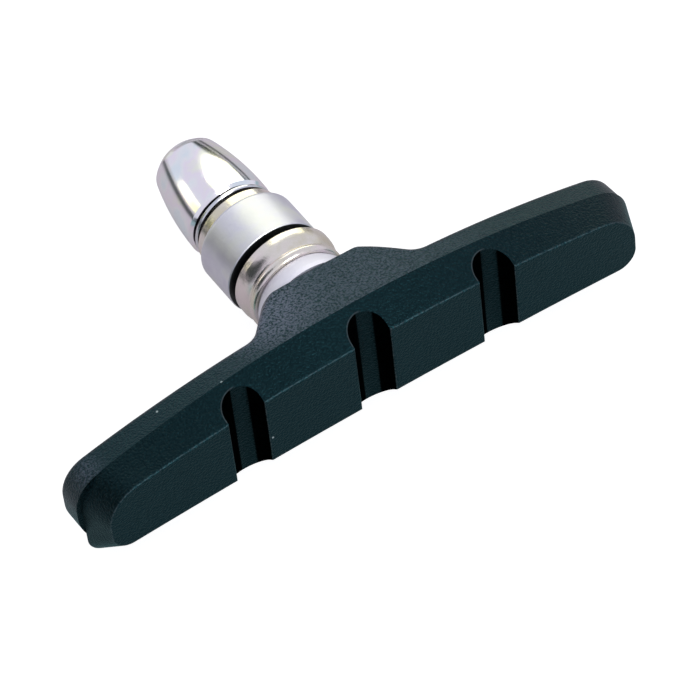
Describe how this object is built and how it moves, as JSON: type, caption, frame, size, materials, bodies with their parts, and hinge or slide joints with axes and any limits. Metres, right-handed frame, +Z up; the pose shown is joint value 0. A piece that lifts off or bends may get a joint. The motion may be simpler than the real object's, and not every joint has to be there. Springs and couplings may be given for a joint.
{
  "type": "bicycle rim brake pad",
  "caption": "Moulded rubber rim brake shoe with cross slots on its arched friction face, and a threaded stud with ball washers, flat washer and bullet-shaped cap nut.",
  "frame": {"origin": "bottom centre of the bounding box, as the shoe lies at rest on the long lower side of its pad and on its nut", "axes": "+X along the pad, +Y the way the stud points over the ground, +Z up, with the arched long side of the pad on top"},
  "size_m": [0.0716, 0.0396, 0.0167],
  "materials": {
    "black_rubber": "matte moulded rubber with a fine grain",
    "plain_steel": "plain pressed steel, moulded in",
    "zinc_stud": "zinc-plated steel",
    "satin_zinc": "satin zinc plating with a faint lilac tint",
    "polished_cup": "polished plating with a faint warm tint",
    "bright_nut": "bright plated nut with faint yellow and lilac tints"
  },
  "bodies": {
    "root": {"rubber_shoe": "black_rubber", "backing_plate": "plain_steel", "threaded_stud": "zinc_stud", "inner_convex_washer": "satin_zinc", "inner_concave_washer": "polished_cup", "outer_concave_washer": "satin_zinc", "outer_convex_washer": "polished_cup", "flat_washer": "zinc_stud", "cap_nut": "bright_nut"}
  },
  "joints": []
}
